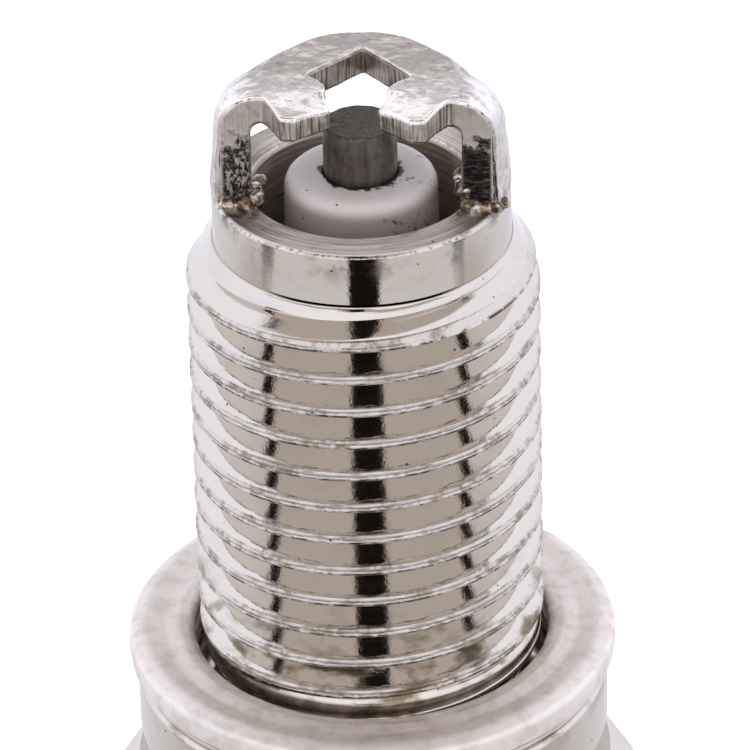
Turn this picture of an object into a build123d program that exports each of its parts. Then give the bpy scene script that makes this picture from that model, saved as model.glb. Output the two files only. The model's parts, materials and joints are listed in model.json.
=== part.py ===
from build123d import *
import os
from math import radians, tan

# Spark plug with an M12 x 1.25 thread, 19 mm reach and a two-legged bridge ground electrode.
# Frame: origin on the plug axis in the gasket seat plane, +Z towards the firing end,
# +X through the right leg of the bridge. All sizes are millimetres.

# --- metal shell, outside -------------------------------------------------------------
REACH = 19.0                 # seat plane to shell end face
THREAD_R = 6.0               # crest radius of M12
THREAD_PITCH = 1.25
THREAD_ROOT_R = 5.24
THREAD_TURNS = 14
THREAD_SLEEVE_R = 4.6        # the thread is cut on a sleeve that is added to a thinner core
THREAD_CORE_R = 5.0
THREAD_TRIM_R = 6.3          # the trimming envelope is clear of the crests between its cones
CREST_Z = 16.006             # height of a thread crest on the -Y side
COLLAR_R = 5.05              # plain pilot in front of the thread
COLLAR_LENGTH = 1.9
COLLAR_EDGE = 0.16
LEAD_IN_Z = REACH - COLLAR_LENGTH
LEAD_IN_R = 5.13             # lead-in cone, from the collar down to the trimming radius
LEAD_IN_LENGTH = 1.47
RUN_OUT_R = 5.1              # run-out cone, behind the last turn
RUN_OUT_LOW = 0.45
RUN_OUT_HIGH = 1.35
RELIEF_R = 5.15
RELIEF_TOP = 1.15
RELIEF_STEP = 0.4
FLANGE_R = 8.2
FLANGE_BOTTOM = -2.4
FLANGE_EDGE = 0.25
GROOVE_R = 7.05
HEX_TOP = -3.9
HEX_BOTTOM = -11.9
HEX_FLATS = 16.0
HEX_INNER_R = 6.95
HEX_CHAMFER_R = 8.2          # where the turned corners meet the ends of the hexagon
HEX_CHAMFER_SPAN = 1.35
HEX_CHAMFER_HEIGHT = 0.7
LIP_R = 7.1
LIP_TOP = -12.2
LIP_BOTTOM = -14.0
LIP_HOLE_R = 5.3
LIP_THICK = 0.75
LIP_OUTER_ROUND = 2.0
LIP_INNER_ROUND = 1.2

# --- metal shell, inside --------------------------------------------------------------
MOUTH_R = 3.7
MOUTH_EDGE = 0.15
THROAT_R = 3.3
THROAT_TOP = 7.6
MOUTH_BOTTOM = 8.2
SEAT_CONE_TOP = 6.6
SEAT_CONE_SLOPE = 0.75       # fall in Z for each millimetre of radius
BODY_BORE_R = 4.1
BODY_BORE_BOTTOM = -2.6
CHAMBER_R = 6.3
CHAMBER_TOP = -3.6
CHAMBER_BOTTOM = -12.5

# --- insulator ------------------------------------------------------------------------
NOSE_TIP = REACH + 0.43
NOSE_R = 2.585
NOSE_ROUND = 0.75
NOSE_ROOT_R = 3.15
NOSE_ROOT_TOP = 8.5
NOSE_ROOT_Z = 6.36
STEM_R = 3.95
STEM_END = -2.9
SHOULDER_R = 6.15
SHOULDER_TOP = -3.9
SHOULDER_BOTTOM = -8.2
NECK_TOP = -8.9
BARREL_R = 5.05
RIB_COUNT = 5
RIB_PITCH = 3.0
RIB_GROOVE_R = 1.25
RIB_GROOVE_OUT = 0.55        # the grooves' centres stand this far outside the barrel
RIB_FIRST_Z = -20.5
BARREL_END = -37.5
INSULATOR_END = -40.0
INSULATOR_END_R = 4.1
INSULATOR_END_ROUND = 0.6
ELECTRODE_BORE_R = 1.3
STUD_BORE_R = 1.95
BORE_STEP_Z = 3.0
BORE_STEP_HEIGHT = 0.4

# --- electrodes and what is stacked behind them ---------------------------------------
ELECTRODE_R = 1.25
ELECTRODE_TIP = REACH + 2.27
ELECTRODE_EDGE = 0.1
HEAD_R = 1.88
HEAD_TOP = 2.95
HEAD_BOTTOM = 1.6
STUB_R = 1.1
STUB_END = 0.6
CORE_R = 0.75
CORE_TIP = REACH - 0.6
FILL_R = 1.94                # seals and resistor, as they fill the insulator bore
LOWER_SEAL_END = -3.0
RESISTOR_END = -12.0
UPPER_SEAL_END = -15.5
STUD_TIP = -13.0
STUD_TIP_R = 1.55
STUD_GRIP_RINGS = 5
STUD_GRIP_DEPTH = 0.15
STUD_SHANK_TOP = -19.0
STUD_SHANK_R = 1.75
STUD_SHANK_STEP = 0.2
STUD_FLANGE_R = 2.9
STUD_FLANGE_END = -40.8
STUD_THREAD_R = 2.0
STUD_THREAD_ROOT_R = 1.6
STUD_CORE_R = 1.45
STUD_SLEEVE_R = 1.15         # the stud's thread is cut on a sleeve too
STUD_TRIM_R = 2.2
STUD_TRIM_LENGTH = 0.8
STUD_PITCH = 0.7
STUD_END = -49.3

# --- terminal nut ---------------------------------------------------------------------
NUT_GAP = 0.05
NUT_EDGE = 0.2
NUT_BORE_R = STUD_THREAD_R + NUT_GAP
NUT_BORE_EDGE = 0.15
NUT_TOP = STUD_FLANGE_END - NUT_GAP
NUT_BASE_R = 3.9
NUT_BASE_END = -42.3
NUT_WAIST_R = 2.75
NUT_WAIST_END = -44.3
NUT_BARREL_R = 3.175
NUT_BARREL_END = -49.9
NUT_END = -50.5
NUT_END_R = 2.6

# --- packing between insulator and shell ----------------------------------------------
WIRE_R = 0.54
WIRE_RING_R = 5.68
LOWER_WIRE_Z = -9.17
UPPER_WIRE_Z = -12.5
TALC_TOP = -9.75
TALC_BOTTOM = -11.92
PACKING_INNER_R = 3.5
PACKING_OUTER_R = 3.9

# --- gasket ---------------------------------------------------------------------------
GASKET_INNER_R = 6.12
GASKET_OUTER_R = 8.47
GASKET_BOTTOM = 0.03
GASKET_TOP = 1.6
GASKET_SHEET = 0.38
GASKET_OUTER_ROUND = 0.735
GASKET_INNER_ROUND = 0.2
GASKET_FOLD_REACH = 1.65     # how far the open fold goes in from the hole

# --- bridge ground electrode ----------------------------------------------------------
BRIDGE_TURN = -5.0           # degrees about +Z: the strap is welded on slightly askew
BRIDGE_TOP = REACH + 4.05
BRIDGE_THICK = 1.05
BRIDGE_R = 4.88
BRIDGE_FOOT_R = 5.06
BRIDGE_KNUCKLE_R = 1.3
BRIDGE_INNER_ROUND = 0.35
BRIDGE_TRIM_HEIGHT = 6.0     # taller than the bridge
LEG_FRONT = -1.6             # the legs' sheared front edges
LEG_BACK = 0.6
LEG_ROOT_X = 3.1
LEG_TRIM_X = 5.6             # clear of the legs
DIAMOND_X = 1.8              # half diagonals of the open diamond
DIAMOND_Y = 2.0
PRONG_NOTCH = (1.2, -0.95)   # the right prong, from the diamond round to the leg
PRONG_TIP = (0.8, -1.86)
PRONG_CORNERS = ((1.95, -2.8), (2.4, -2.75))
PRONG_ROOT = (2.85, -1.95)
BACK_APEX = (0, 3.06)        # back edge: an arc over the diamond, then 45 degrees to the legs
BACK_BEND = (1.1, 2.87)
BACK_CORNER = (2.0, 2.3)
BACK_ROOT_X = 3.8


def threaded_rod(crest_r, root_r, pitch, groove_z, turns):
    """A rod with one right-hand 60 degree groove, which starts at groove_z on the +X side."""
    depth = crest_r - root_r
    margin = 0.05            # the cutter stands this far out of the rod
    half_mouth = pitch * 7 / 16
    half_root = half_mouth - depth * tan(radians(30))
    half_margin = half_mouth + margin * tan(radians(30))
    with BuildPart() as cutter:
        with BuildLine():
            Helix(pitch=pitch, height=turns * pitch, radius=root_r, center=(0, 0, groove_z))
        with BuildSketch(Plane.XZ):
            with BuildLine():
                Polyline(
                    (root_r, groove_z - half_root),
                    (crest_r + margin, groove_z - half_margin),
                    (crest_r + margin, groove_z + half_margin),
                    (root_r, groove_z + half_root),
                    close=True,
                )
            make_face()
        sweep(is_frenet=True)
    with BuildPart() as rod:
        with BuildSketch(Plane.XY.offset(groove_z - 2 * pitch)):
            Circle(crest_r)
        extrude(amount=(turns + 4) * pitch)
        add(cutter.part, mode=Mode.SUBTRACT)
    return rod.part


os.makedirs("parts", exist_ok=True)

# --- metal shell ----------------------------------------------------------------------
# The threaded rod is trimmed by an envelope with both cones, then added to the body.
last_groove = CREST_Z + THREAD_PITCH / 4 + THREAD_PITCH / 2
first_groove = last_groove - THREAD_TURNS * THREAD_PITCH
shell_rod = threaded_rod(THREAD_R, THREAD_ROOT_R, THREAD_PITCH, first_groove, THREAD_TURNS + 1)
with BuildPart() as shell_thread:
    with BuildSketch(Plane.XZ):
        with BuildLine():
            Polyline(
                (THREAD_SLEEVE_R, RUN_OUT_LOW),
                (RUN_OUT_R, RUN_OUT_LOW),
                (THREAD_TRIM_R, RUN_OUT_HIGH),
                (THREAD_TRIM_R, LEAD_IN_Z - LEAD_IN_LENGTH),
                (LEAD_IN_R, LEAD_IN_Z),
                (THREAD_SLEEVE_R, LEAD_IN_Z),
                close=True,
            )
        make_face()
    revolve(axis=Axis.Z)
    add(shell_rod, mode=Mode.INTERSECT)

with BuildPart() as metal_shell:
    # body of revolution: collar, thread core, relief, flange, groove, crimped lip and bore
    with BuildSketch(Plane.XZ):
        with BuildLine():
            Polyline(
                (MOUTH_R + MOUTH_EDGE, REACH),
                (COLLAR_R - COLLAR_EDGE, REACH),
                (COLLAR_R, REACH - COLLAR_EDGE),
                (COLLAR_R, LEAD_IN_Z),
                (THREAD_CORE_R, LEAD_IN_Z - RELIEF_STEP),
                (THREAD_CORE_R, RELIEF_TOP + RELIEF_STEP),
                (RELIEF_R, RELIEF_TOP),
                (RELIEF_R, FLANGE_EDGE),
                (RELIEF_R + FLANGE_EDGE, 0),
                (FLANGE_R - FLANGE_EDGE, 0),
                (FLANGE_R, -FLANGE_EDGE),
                (FLANGE_R, FLANGE_BOTTOM + FLANGE_EDGE),
                (FLANGE_R - FLANGE_EDGE, FLANGE_BOTTOM),
                (GROOVE_R, FLANGE_BOTTOM - FLANGE_EDGE),
                (GROOVE_R, HEX_BOTTOM),
                (LIP_R, LIP_TOP),
            )
            RadiusArc((LIP_R, LIP_TOP), (LIP_HOLE_R, LIP_BOTTOM), LIP_OUTER_ROUND)
            Line((LIP_HOLE_R, LIP_BOTTOM), (LIP_HOLE_R, LIP_BOTTOM + LIP_THICK))
            RadiusArc((LIP_HOLE_R, LIP_BOTTOM + LIP_THICK), (CHAMBER_R, CHAMBER_BOTTOM), -LIP_INNER_ROUND)
            Polyline(
                (CHAMBER_R, CHAMBER_BOTTOM),
                (CHAMBER_R, CHAMBER_TOP),
                (BODY_BORE_R, BODY_BORE_BOTTOM),
                (BODY_BORE_R, SEAT_CONE_TOP - SEAT_CONE_SLOPE * (BODY_BORE_R - THROAT_R)),
                (THROAT_R, SEAT_CONE_TOP),
                (THROAT_R, THROAT_TOP),
                (MOUTH_R, MOUTH_BOTTOM),
                (MOUTH_R, REACH - MOUTH_EDGE),
                (MOUTH_R + MOUTH_EDGE, REACH),
            )
        make_face()
    revolve(axis=Axis.Z)
    add(shell_thread.part)
    # hexagon with its corners turned off at both ends
    with BuildSketch(Plane.XY.offset(HEX_BOTTOM)):
        RegularPolygon(HEX_FLATS / 2, 6, major_radius=False)
        Circle(HEX_INNER_R, mode=Mode.SUBTRACT)
    extrude(amount=HEX_TOP - HEX_BOTTOM)
    with BuildSketch(Plane.XZ):
        for end, way in ((HEX_TOP, 1), (HEX_BOTTOM, -1)):
            with BuildLine():
                Polyline(
                    (HEX_CHAMFER_R, end),
                    (HEX_CHAMFER_R + HEX_CHAMFER_SPAN, end),
                    (HEX_CHAMFER_R + HEX_CHAMFER_SPAN, end - way * HEX_CHAMFER_HEIGHT),
                    close=True,
                )
            make_face()
    revolve(axis=Axis.Z, mode=Mode.SUBTRACT)
metal_shell.part.label = "metal_shell"
export_step(metal_shell.part, "parts/metal_shell.step")

# --- sealing gasket -------------------------------------------------------------------
# A ring of sheet steel folded over on itself; the fold is open towards the thread.
with BuildPart() as sealing_gasket:
    gasket_height = GASKET_TOP - GASKET_BOTTOM
    gasket_middle = (GASKET_TOP + GASKET_BOTTOM) / 2
    with BuildSketch(Plane.XZ) as gasket_section:
        with Locations(((GASKET_INNER_R + GASKET_OUTER_R) / 2, gasket_middle)):
            Rectangle(GASKET_OUTER_R - GASKET_INNER_R, gasket_height)
        outer_corners = gasket_section.vertices().group_by(Axis.X)[-1]
        fillet(outer_corners, radius=GASKET_OUTER_ROUND)
        inner_corners = gasket_section.vertices().group_by(Axis.X)[0]
        fillet(inner_corners, radius=GASKET_INNER_ROUND)
        with Locations((GASKET_INNER_R, gasket_middle)):
            SlotOverall(2 * GASKET_FOLD_REACH, gasket_height - 2 * GASKET_SHEET, mode=Mode.SUBTRACT)
    revolve(axis=Axis.Z)
sealing_gasket.part.label = "sealing_gasket"
export_step(sealing_gasket.part, "parts/sealing_gasket.step")

# --- ground electrode -----------------------------------------------------------------
# A pressed strap: dome section of revolution, cut to its plan outline with the open diamond.
bridge_plane = Plane.XY.offset(REACH).rotated((0, 0, BRIDGE_TURN))
with BuildPart() as ground_electrode:
    knuckle_z = BRIDGE_TOP - BRIDGE_KNUCKLE_R
    knuckle_x = BRIDGE_R - BRIDGE_KNUCKLE_R
    inner_r = BRIDGE_R - BRIDGE_THICK
    underside = BRIDGE_TOP - BRIDGE_THICK
    with BuildSketch(Plane.XZ):
        with BuildLine():
            Line((BRIDGE_FOOT_R, REACH), (BRIDGE_R, knuckle_z))
            RadiusArc((BRIDGE_R, knuckle_z), (knuckle_x, BRIDGE_TOP), -BRIDGE_KNUCKLE_R)
            Polyline(
                (knuckle_x, BRIDGE_TOP),
                (0, BRIDGE_TOP),
                (0, underside),
                (inner_r - BRIDGE_INNER_ROUND, underside),
            )
            RadiusArc(
                (inner_r - BRIDGE_INNER_ROUND, underside),
                (inner_r, underside - BRIDGE_INNER_ROUND),
                BRIDGE_INNER_ROUND,
            )
            Polyline(
                (inner_r, underside - BRIDGE_INNER_ROUND),
                (inner_r, REACH),
                (BRIDGE_FOOT_R, REACH),
            )
        make_face()
    revolve(axis=Axis.Z)
    with BuildSketch(bridge_plane):
        with BuildLine():
            Polyline(
                (0, DIAMOND_Y),
                (DIAMOND_X, 0),
                PRONG_NOTCH,
                PRONG_TIP,
                *PRONG_CORNERS,
                PRONG_ROOT,
                (LEG_ROOT_X, LEG_FRONT),
                (LEG_TRIM_X, LEG_FRONT),
                (LEG_TRIM_X, LEG_BACK),
                (BACK_ROOT_X, LEG_BACK),
                BACK_CORNER,
            )
            Spline(BACK_CORNER, BACK_BEND, BACK_APEX, tangents=[(-0.75, 0.66), (-1, 0)])
            Line(BACK_APEX, (0, DIAMOND_Y))
        make_face()
        mirror(about=Plane.YZ)
    extrude(amount=BRIDGE_TRIM_HEIGHT, mode=Mode.INTERSECT)
ground_electrode.part.label = "ground_electrode"
export_step(ground_electrode.part, "parts/ground_electrode.step")

# --- insulator ------------------------------------------------------------------------
with BuildPart() as insulator:
    with BuildSketch(Plane.XZ):
        with BuildLine():
            Line((ELECTRODE_BORE_R, NOSE_TIP), (NOSE_R - NOSE_ROUND, NOSE_TIP))
            RadiusArc((NOSE_R - NOSE_ROUND, NOSE_TIP), (NOSE_R, NOSE_TIP - NOSE_ROUND), NOSE_ROUND)
            Polyline(
                (NOSE_R, NOSE_TIP - NOSE_ROUND),
                (NOSE_ROOT_R, NOSE_ROOT_TOP),
                (NOSE_ROOT_R, NOSE_ROOT_Z),
                (STEM_R, NOSE_ROOT_Z - SEAT_CONE_SLOPE * (STEM_R - NOSE_ROOT_R)),
                (STEM_R, STEM_END),
                (SHOULDER_R, SHOULDER_TOP),
                (SHOULDER_R, SHOULDER_BOTTOM),
                (BARREL_R, NECK_TOP),
                (BARREL_R, BARREL_END),
                (INSULATOR_END_R, INSULATOR_END + INSULATOR_END_ROUND),
            )
            RadiusArc(
                (INSULATOR_END_R, INSULATOR_END + INSULATOR_END_ROUND),
                (INSULATOR_END_R - INSULATOR_END_ROUND, INSULATOR_END),
                INSULATOR_END_ROUND,
            )
            Polyline(
                (INSULATOR_END_R - INSULATOR_END_ROUND, INSULATOR_END),
                (STUD_BORE_R, INSULATOR_END),
                (STUD_BORE_R, BORE_STEP_Z - BORE_STEP_HEIGHT),
                (ELECTRODE_BORE_R, BORE_STEP_Z),
                (ELECTRODE_BORE_R, NOSE_TIP),
            )
        make_face()
    revolve(axis=Axis.Z)
    # grooves between the flash-over ribs
    for groove in range(RIB_COUNT + 1):
        with BuildSketch(Plane.XZ):
            with Locations((BARREL_R + RIB_GROOVE_OUT, RIB_FIRST_Z - groove * RIB_PITCH)):
                Circle(RIB_GROOVE_R)
        revolve(axis=Axis.Z, mode=Mode.SUBTRACT)
insulator.part.label = "insulator"
export_step(insulator.part, "parts/insulator.step")

# --- centre electrode and its core ----------------------------------------------------
with BuildPart() as center_electrode:
    with BuildSketch(Plane.XZ):
        with BuildLine():
            Polyline(
                (0, ELECTRODE_TIP),
                (ELECTRODE_R - ELECTRODE_EDGE, ELECTRODE_TIP),
                (ELECTRODE_R, ELECTRODE_TIP - ELECTRODE_EDGE),
                (ELECTRODE_R, HEAD_TOP),
                (HEAD_R, HEAD_TOP - BORE_STEP_HEIGHT),
                (HEAD_R, HEAD_BOTTOM),
                (STUB_R, HEAD_BOTTOM),
                (STUB_R, STUB_END),
                (CORE_R, STUB_END),
                (CORE_R, CORE_TIP - CORE_R),
                (0, CORE_TIP),
                close=True,
            )
        make_face()
    revolve(axis=Axis.Z)
center_electrode.part.label = "center_electrode"
export_step(center_electrode.part, "parts/center_electrode.step")

with BuildPart() as copper_core:
    with BuildSketch(Plane.XZ):
        with BuildLine():
            Polyline(
                (0, CORE_TIP),
                (CORE_R, CORE_TIP - CORE_R),
                (CORE_R, STUB_END),
                (0, STUB_END),
                close=True,
            )
        make_face()
    revolve(axis=Axis.Z)
copper_core.part.label = "copper_core"
export_step(copper_core.part, "parts/copper_core.step")

# --- glass seals and resistor ---------------------------------------------------------
with BuildPart() as lower_glass_seal:
    with BuildSketch(Plane.XY.offset(LOWER_SEAL_END)):
        Circle(FILL_R)
    extrude(amount=HEAD_BOTTOM - LOWER_SEAL_END)
    with BuildSketch(Plane.XY.offset(STUB_END)):
        Circle(STUB_R)
    extrude(amount=HEAD_BOTTOM - STUB_END, mode=Mode.SUBTRACT)
lower_glass_seal.part.label = "lower_glass_seal"
export_step(lower_glass_seal.part, "parts/lower_glass_seal.step")

with BuildPart() as resistor:
    with BuildSketch(Plane.XY.offset(RESISTOR_END)):
        Circle(FILL_R)
    extrude(amount=LOWER_SEAL_END - RESISTOR_END)
resistor.part.label = "resistor"
export_step(resistor.part, "parts/resistor.step")

with BuildPart() as upper_glass_seal:
    with BuildSketch(Plane.XY.offset(UPPER_SEAL_END)):
        Circle(FILL_R)
    extrude(amount=RESISTOR_END - UPPER_SEAL_END)
    with BuildSketch(Plane.XY.offset(UPPER_SEAL_END)):
        Circle(STUD_TIP_R)
    extrude(amount=STUD_TIP - UPPER_SEAL_END, mode=Mode.SUBTRACT)
upper_glass_seal.part.label = "upper_glass_seal"
export_step(upper_glass_seal.part, "parts/upper_glass_seal.step")

# --- terminal stud --------------------------------------------------------------------
stud_turns = round((STUD_FLANGE_END - STUD_END) / STUD_PITCH)
stud_rod = threaded_rod(STUD_THREAD_R, STUD_THREAD_ROOT_R, STUD_PITCH, STUD_END, stud_turns)
with BuildPart() as stud_thread:
    with BuildSketch(Plane.XZ):
        with BuildLine():
            Polyline(
                (STUD_SLEEVE_R, STUD_END),
                (STUD_CORE_R, STUD_END),
                (STUD_TRIM_R, STUD_END + STUD_TRIM_LENGTH),
                (STUD_TRIM_R, STUD_FLANGE_END - STUD_TRIM_LENGTH),
                (STUD_THREAD_ROOT_R, STUD_FLANGE_END + STUD_SHANK_STEP),
                (STUD_SLEEVE_R, STUD_FLANGE_END + STUD_SHANK_STEP),
                close=True,
            )
        make_face()
    revolve(axis=Axis.Z)
    add(stud_rod, mode=Mode.INTERSECT)

with BuildPart() as terminal_stud:
    with BuildSketch(Plane.XZ):
        with BuildLine():
            Polyline(
                (0, STUD_TIP),
                (STUD_TIP_R, STUD_TIP),
                (STUD_TIP_R, STUD_SHANK_TOP),
                (STUD_SHANK_R, STUD_SHANK_TOP - STUD_SHANK_STEP),
                (STUD_SHANK_R, INSULATOR_END),
                (STUD_FLANGE_R, INSULATOR_END),
                (STUD_FLANGE_R, STUD_FLANGE_END),
                (STUD_CORE_R, STUD_FLANGE_END),
                (STUD_CORE_R, STUD_END),
                (0, STUD_END),
                close=True,
            )
        make_face()
    revolve(axis=Axis.Z)
    # rings that key the stud's end above the glass
    ring_span = (UPPER_SEAL_END - STUD_SHANK_TOP) / STUD_GRIP_RINGS
    for ring in range(STUD_GRIP_RINGS):
        with BuildSketch(Plane.XY.offset(UPPER_SEAL_END - (ring + 3 / 4) * ring_span)):
            Circle(STUD_TIP_R)
            Circle(STUD_TIP_R - STUD_GRIP_DEPTH, mode=Mode.SUBTRACT)
        extrude(amount=ring_span / 2, mode=Mode.SUBTRACT)
    add(stud_thread.part)
terminal_stud.part.label = "terminal_stud"
export_step(terminal_stud.part, "parts/terminal_stud.step")

# --- terminal nut ---------------------------------------------------------------------
with BuildPart() as terminal_nut:
    with BuildSketch(Plane.XZ):
        with BuildLine():
            Polyline(
                (NUT_BORE_R + NUT_BORE_EDGE, NUT_TOP),
                (NUT_BASE_R - NUT_EDGE, NUT_TOP),
                (NUT_BASE_R, NUT_TOP - NUT_EDGE),
                (NUT_BASE_R, NUT_BASE_END + NUT_EDGE),
                (NUT_BASE_R - NUT_EDGE, NUT_BASE_END),
                (NUT_WAIST_R, NUT_BASE_END),
                (NUT_WAIST_R, NUT_WAIST_END + NUT_EDGE),
                (NUT_BARREL_R, NUT_WAIST_END),
                (NUT_BARREL_R, NUT_BARREL_END),
                (NUT_END_R, NUT_END),
                (NUT_BORE_R + NUT_BORE_EDGE, NUT_END),
                (NUT_BORE_R, NUT_END + NUT_BORE_EDGE),
                (NUT_BORE_R, NUT_TOP - NUT_BORE_EDGE),
                close=True,
            )
        make_face()
    revolve(axis=Axis.Z)
terminal_nut.part.label = "terminal_nut"
export_step(terminal_nut.part, "parts/terminal_nut.step")


# --- packing rings and talc -----------------------------------------------------------
def shell_cone_z(radius):
    """Height of the shell's inner seat at a radius."""
    return SEAT_CONE_TOP - SEAT_CONE_SLOPE * (radius - THROAT_R)


def insulator_cone_z(radius):
    """Height of the insulator's matching cone at a radius."""
    return NOSE_ROOT_Z - SEAT_CONE_SLOPE * (radius - NOSE_ROOT_R)


with BuildPart() as seat_packing_ring:
    with BuildSketch(Plane.XZ):
        with BuildLine():
            Polyline(
                (PACKING_INNER_R, shell_cone_z(PACKING_INNER_R)),
                (PACKING_OUTER_R, shell_cone_z(PACKING_OUTER_R)),
                (PACKING_OUTER_R, insulator_cone_z(PACKING_OUTER_R)),
                (PACKING_INNER_R, insulator_cone_z(PACKING_INNER_R)),
                close=True,
            )
        make_face()
    revolve(axis=Axis.Z)
seat_packing_ring.part.label = "seat_packing_ring"
export_step(seat_packing_ring.part, "parts/seat_packing_ring.step")

with BuildPart() as talc_filling:
    with BuildSketch(Plane.XY.offset(TALC_BOTTOM)):
        Circle(CHAMBER_R)
        Circle(BARREL_R, mode=Mode.SUBTRACT)
    extrude(amount=TALC_TOP - TALC_BOTTOM)
talc_filling.part.label = "talc_filling"
export_step(talc_filling.part, "parts/talc_filling.step")

with BuildPart() as lower_wire_ring:
    with BuildSketch(Plane.XZ):
        with Locations((WIRE_RING_R, LOWER_WIRE_Z)):
            Circle(WIRE_R)
    revolve(axis=Axis.Z)
lower_wire_ring.part.label = "lower_wire_ring"
export_step(lower_wire_ring.part, "parts/lower_wire_ring.step")

with BuildPart() as upper_wire_ring:
    with BuildSketch(Plane.XZ):
        with Locations((WIRE_RING_R, UPPER_WIRE_Z)):
            Circle(WIRE_R)
    revolve(axis=Axis.Z)
upper_wire_ring.part.label = "upper_wire_ring"
export_step(upper_wire_ring.part, "parts/upper_wire_ring.step")
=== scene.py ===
import bpy
import bmesh
import json
import random
from math import copysign, cos, hypot, pi, radians, sin, tan
from mathutils import Matrix, Vector, noise


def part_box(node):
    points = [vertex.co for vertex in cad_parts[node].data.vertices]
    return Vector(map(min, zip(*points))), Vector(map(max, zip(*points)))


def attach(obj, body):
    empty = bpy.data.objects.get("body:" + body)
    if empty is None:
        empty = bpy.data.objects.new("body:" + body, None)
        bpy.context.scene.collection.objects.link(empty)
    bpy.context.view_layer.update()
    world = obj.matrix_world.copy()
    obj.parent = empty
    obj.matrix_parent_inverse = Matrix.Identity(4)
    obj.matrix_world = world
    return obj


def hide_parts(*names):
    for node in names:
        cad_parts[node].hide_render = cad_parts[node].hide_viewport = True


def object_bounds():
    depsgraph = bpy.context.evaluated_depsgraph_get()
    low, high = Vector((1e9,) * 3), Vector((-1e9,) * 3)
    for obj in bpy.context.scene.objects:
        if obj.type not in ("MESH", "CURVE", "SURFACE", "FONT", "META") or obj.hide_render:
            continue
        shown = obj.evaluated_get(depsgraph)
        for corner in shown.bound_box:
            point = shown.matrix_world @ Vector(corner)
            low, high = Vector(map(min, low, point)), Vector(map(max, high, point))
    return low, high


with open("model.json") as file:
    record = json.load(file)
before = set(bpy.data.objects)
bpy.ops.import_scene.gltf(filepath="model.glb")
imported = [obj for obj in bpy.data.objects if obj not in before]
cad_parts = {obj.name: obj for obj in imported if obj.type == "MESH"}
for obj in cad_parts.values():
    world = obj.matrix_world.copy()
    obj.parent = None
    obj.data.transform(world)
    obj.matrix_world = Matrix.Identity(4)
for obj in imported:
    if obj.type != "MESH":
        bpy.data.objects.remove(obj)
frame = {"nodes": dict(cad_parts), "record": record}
cad_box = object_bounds()

# Sizes are worked out in millimetres and leave the script as metres.
MM = 0.001
RECORD = frame["record"]
MOUNTS = {mount["name"]: mount for mount in RECORD["mounts"]}


def top_of(node):
    """Highest Z of a CAD node, in millimetres."""
    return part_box(node)[1][2] / MM


def bottom_of(node):
    """Lowest Z of a CAD node, in millimetres."""
    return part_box(node)[0][2] / MM


def radius_of(node):
    """Largest Y of a CAD node, which is the radius of its widest round part, in millimetres."""
    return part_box(node)[1][1] / MM


# --- sizes from the frame ---
REACH = top_of("metal_shell")
THREAD_R = MOUNTS["thread"]["dims"]["r_mm"]
COLLAR_R = MOUNTS["pilot"]["dims"]["r_mm"]
FLANGE_R = radius_of("metal_shell")
GASKET_R = radius_of("sealing_gasket")
GASKET_TOP = top_of("sealing_gasket")
GASKET_LOW = bottom_of("sealing_gasket")
ELECTRODE_TIP = top_of("center_electrode")
NOSE_TIP = top_of("insulator")
INSULATOR_END = bottom_of("insulator")
BRIDGE_TOP = top_of("ground_electrode")
NUT_TOP = top_of("terminal_nut")
NUT_END = bottom_of("terminal_nut")
NUT_BARREL_R = MOUNTS["terminal"]["dims"]["r_mm"]
STUD_END = bottom_of("terminal_stud")
NUT_TRAVEL = max(joint["range_m"][1] for joint in RECORD["behaviour"]["joints"] if "range_m" in joint)
FLOOR_Z = cad_box[0][2] - NUT_TRAVEL - 1.0 * MM  # in metres, clear of the nut off its stud

# --- sizes of the design ---
THREAD_PITCH = 1.25
THREAD_ROOT_R = 5.17
CREST_Z = 16.006  # height of a thread crest on the -Y side
CREST_RIGHT_Z = CREST_Z + THREAD_PITCH / 4
COLLAR_LENGTH = 1.9
LEAD_IN_Z = REACH - COLLAR_LENGTH
LEAD_IN_SLOPE = 0.78  # growth of the lead-in cone's radius for each millimetre down
LEAD_IN_R = 5.10
RUN_OUT_Z = 0.49  # the thread grows out of the relief from here
RUN_OUT_R = 5.84  # plain band where the last groove fades out
RUN_OUT_SLOPE = 1.35  # growth of the run-out cone's radius for each millimetre up
CORE_R = 4.95  # turned core, hidden under the thread
RELIEF_R = 5.15
GROOVE_R = 7.05  # between the flange and the hexagon
HEX_CORE_R = 6.9  # turned core, hidden under the hexagon
LIP_ROOT_R = 7.1
CHAMBER_R = 6.3  # room for the talc and the wire rings
BORE_R = 4.1
SEAT_R = 3.3  # hole in the seat that holds the insulator
MOUTH_R = 3.7
MOUTH_LOW = 13.0  # the tool marks in the mouth end here
GASKET_HOLE_R = GASKET_R - 2.33
NOSE_R = 2.585
STEM_R = 3.15
CONE_R = 3.95
SHOULDER_R = 6.15
STUD_BORE_R = 1.95
ELECTRODE_R = 1.25
ELECTRODE_BORE_R = 1.3
ELECTRODE_HEAD_R = 1.88
ELECTRODE_STUB_R = 1.1
COPPER_R = 0.75
BRIDGE_R = 4.88
BRIDGE_THICK = 1.05
KNUCKLE_R = 1.3
BRIDGE_TURN = radians(-5)
HEX_TOP = -3.9
HEX_BOTTOM = -11.9
HEX_FLATS = 16.0
LIP_BOTTOM = -14.0
LIP_HOLE_R = 5.3
BARREL_R = 5.05
RIB_COUNT = 5
RIB_PITCH = 3.0
RIB_DEPTH = 0.62
RIB_FIRST_Z = -20.5
STUD_PITCH = 0.7
STUD_THREAD_R = 2.0
STUD_ROOT_R = 1.6
STUD_KEY_R = 1.55
STUD_SHANK_R = 1.75
STUD_FLANGE_R = 2.9
NUT_BORE_R = 2.05
NUT_BASE_R = 3.9
NUT_WAIST_R = 2.75
NUT_WAIST_TOP = -42.3
NUT_WAIST_LOW = -44.2

CORNER_STEPS = 5  # segments in the arc of each rounded profile corner


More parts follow.
